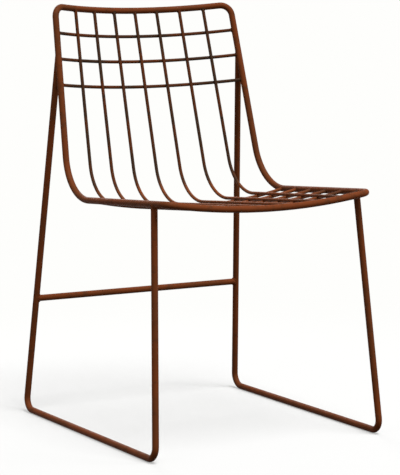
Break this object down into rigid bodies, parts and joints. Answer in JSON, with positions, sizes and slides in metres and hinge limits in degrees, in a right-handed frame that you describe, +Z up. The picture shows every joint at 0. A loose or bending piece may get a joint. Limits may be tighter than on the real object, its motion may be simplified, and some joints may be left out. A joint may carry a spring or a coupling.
{
  "type": "wire mesh chair",
  "caption": "Side chair welded from bent round steel rod: wire mesh seat and back shell inside a closed rim, on two bent sled frames with a rear crossbar.",
  "frame": {"origin": "on the floor, under the middle of the two floor bars", "axes": "+Z up, the sitter faces -Y, +X to the right seen from the front looking along +Y"},
  "size_m": [0.4924, 0.5376, 0.8003],
  "materials": {
    "coated_rod": "satin copper-brown powder coat with fine mottling",
    "coated_wire": "satin copper-brown powder coat with fine mottling"
  },
  "bodies": {
    "root": {"seat_back_rim": "coated_rod", "left_sled_frame": "coated_rod", "right_sled_frame": "coated_rod", "rear_crossbar": "coated_rod", "long_wire_1": "coated_wire", "long_wire_2": "coated_wire", "long_wire_3": "coated_wire", "long_wire_4": "coated_wire", "long_wire_5": "coated_wire", "long_wire_6": "coated_wire", "long_wire_7": "coated_wire", "seat_cross_wire_1": "coated_wire", "seat_cross_wire_2": "coated_wire", "seat_cross_wire_3": "coated_wire", "seat_cross_wire_4": "coated_wire", "seat_cross_wire_5": "coated_wire", "seat_cross_wire_6": "coated_wire", "back_cross_wire_1": "coated_wire", "back_cross_wire_2": "coated_wire", "back_cross_wire_3": "coated_wire"}
  },
  "joints": []
}
